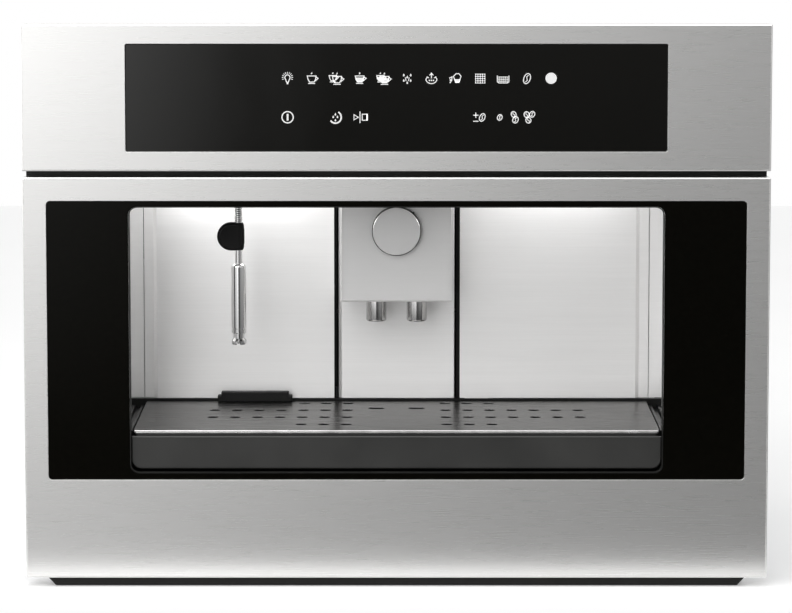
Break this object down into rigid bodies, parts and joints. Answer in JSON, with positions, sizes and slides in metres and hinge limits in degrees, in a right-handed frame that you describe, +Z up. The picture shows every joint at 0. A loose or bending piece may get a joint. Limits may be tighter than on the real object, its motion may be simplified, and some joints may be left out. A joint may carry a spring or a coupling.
{
  "type": "built-in coffee machine",
  "caption": "Built-in bean-to-cup coffee machine with a steel and black glass front, height-adjustable spout, steam wand, drip tray and pull-out chassis.",
  "frame": {"origin": "on the niche floor under the rails, in the middle of the width and of the depth", "axes": "+X to the right as one faces the front, -Y out of the front, +Z up"},
  "size_m": [0.597, 0.398, 0.4533],
  "materials": {
    "brushed_steel": "fine horizontal grain",
    "polished_steel": "polished steel",
    "chrome": "bright chrome",
    "case_steel": "galvanised sheet",
    "black_glass": "black glass, polished",
    "black_plastic": "satin black",
    "grey_plastic": "satin dark grey",
    "rubber": "soft black",
    "clear_plastic": "clear, slightly smoky",
    "pale_metal": "turned bright metal",
    "cast_aluminium": "as cast",
    "circuit_green": "solder resist",
    "lamp_lens": "frosted"
  },
  "bodies": {
    "niche_rails": {"outer_rail_left": "case_steel", "outer_rail_right": "case_steel"},
    "middle_rails": {"middle_rail_left": "case_steel", "middle_rail_right": "case_steel"},
    "machine": {"control_fascia": "brushed_steel", "control_glass": "black_glass", "control_housing": "black_plastic", "touch_board": "circuit_green", "lower_fascia": "brushed_steel", "window_bezel": "black_glass", "window_liner": "black_plastic", "front_frame": "black_plastic", "lower_trim": "black_plastic", "base_plate": "case_steel", "top_cover": "case_steel", "left_side_panel": "case_steel", "right_side_panel": "case_steel", "back_cover": "case_steel", "cavity_liner": "brushed_steel", "cavity_left_wall": "brushed_steel", "cavity_right_wall": "brushed_steel", "cavity_lamp": "lamp_lens", "brew_bay": "black_plastic", "tray_bed": "black_plastic", "wand_socket": "chrome", "tank_seat": "black_plastic", "bean_hopper": "clear_plastic", "grinder_body": "cast_aluminium", "grinder_motor": "cast_aluminium", "grounds_container": "grey_plastic", "brew_chamber": "grey_plastic", "gear_motor": "black_plastic", "boiler": "cast_aluminium", "pump": "pale_metal", "power_board": "circuit_green", "mains_inlet": "black_plastic", "inner_rail_left": "case_steel", "inner_rail_right": "case_steel"},
    "drip_tray": {"drip_tray": "grey_plastic"},
    "cup_grate": {"cup_grate": "polished_steel", "grate_grip": "rubber"},
    "service_door": {"service_door": "brushed_steel"},
    "spout": {"spout_housing": "brushed_steel", "spout_carriage": "black_plastic", "spout_knob": "brushed_steel", "nozzle_left": "polished_steel", "nozzle_right": "polished_steel"},
    "wand_knuckle": {"wand_knuckle": "chrome"},
    "wand": {"wand_tube": "chrome", "wand_grip": "rubber", "froth_sleeve": "chrome", "steam_tip": "chrome"},
    "water_tank": {"water_tank": "clear_plastic"},
    "tank_lid": {"tank_lid": "black_plastic"},
    "hopper_lid": {"hopper_lid": "black_plastic"},
    "grinder_burr": {"grinder_burr": "pale_metal"},
    "grind_knob": {"grind_knob": "black_plastic"},
    "drive_screw": {"drive_screw": "pale_metal"},
    "brew_piston": {"brew_piston": "grey_plastic"},
    "mains_switch": {"mains_switch": "rubber"}
  },
  "joints": [
    {"name": "machine_pull_out", "type": "slide", "parent": "niche_rails", "child": "machine", "axis": [0, -1, 0], "range_m": [0, 0.34]},
    {"name": "middle_rail_run", "type": "slide", "parent": "niche_rails", "child": "middle_rails", "axis": [0, -1, 0], "range_m": [0, 0.17]},
    {"name": "drip_tray_pull", "type": "slide", "parent": "machine", "child": "drip_tray", "axis": [0, -1, 0], "range_m": [0, 0.15]},
    {"name": "cup_grate_lift", "type": "slide", "parent": "drip_tray", "child": "cup_grate", "axis": [0, 0, -1], "range_m": [-0.03, 0]},
    {"name": "service_door_swing", "type": "hinge", "parent": "machine", "child": "service_door", "pos_m": [-0.0508, -0.0301, 0.228], "axis": [0, 0, -1], "range_deg": [0, 75]},
    {"name": "spout_height", "type": "slide", "parent": "service_door", "child": "spout", "axis": [0, 0, 1], "range_m": [-0.03, 0.025]},
    {"name": "wand_turn", "type": "hinge", "parent": "machine", "child": "wand_knuckle", "pos_m": [-0.129, -0.134, 0.3225], "axis": [0, 0, 1], "range_deg": [-45, 45]},
    {"name": "wand_tilt", "type": "hinge", "parent": "wand_knuckle", "child": "wand", "pos_m": [-0.129, -0.134, 0.309], "axis": [-1, 0, 0], "range_deg": [0, 35]},
    {"name": "water_tank_lift", "type": "slide", "parent": "machine", "child": "water_tank", "axis": [0, 0, 1], "range_m": [0, 0.185]},
    {"name": "tank_lid_hinge", "type": "hinge", "parent": "water_tank", "child": "tank_lid", "pos_m": [-0.218, 0.188, 0.4353], "axis": [-1, 0, 0], "range_deg": [0, 95]},
    {"name": "hopper_lid_hinge", "type": "hinge", "parent": "machine", "child": "hopper_lid", "pos_m": [0.112, 0.104, 0.4371], "axis": [-1, 0, 0], "range_deg": [0, 100]},
    {"name": "burr_spin", "type": "hinge", "parent": "machine", "child": "grinder_burr", "pos_m": [0.112, 0.039, 0.3], "axis": [0, 0, 1], "continuous": true},
    {"name": "grind_knob_turn", "type": "hinge", "parent": "machine", "child": "grind_knob", "pos_m": [0.205, 0.039, 0.43], "axis": [0, 0, 1], "range_deg": [0, 270]},
    {"name": "drive_screw_turn", "type": "hinge", "parent": "machine", "child": "drive_screw", "pos_m": [0, 0.039, 0.32], "axis": [0, 0, 1], "range_deg": [0, 1260]},
    {"name": "brew_piston_stroke", "type": "slide", "parent": "machine", "child": "brew_piston", "axis": [0, 0, -1], "range_m": [0, 0.028]},
    {"name": "mains_switch_rock", "type": "hinge", "parent": "machine", "child": "mains_switch", "pos_m": [0.2395, 0.192, 0.084], "axis": [1, 0, 0], "range_deg": [0, 15]}
  ],
  "couplings": [
    {"joint": "middle_rail_run", "follows": "machine_pull_out", "ratio": 0.5},
    {"joint": "drive_screw_turn", "follows": "brew_piston_stroke", "rad_per_m": 785.4}
  ]
}
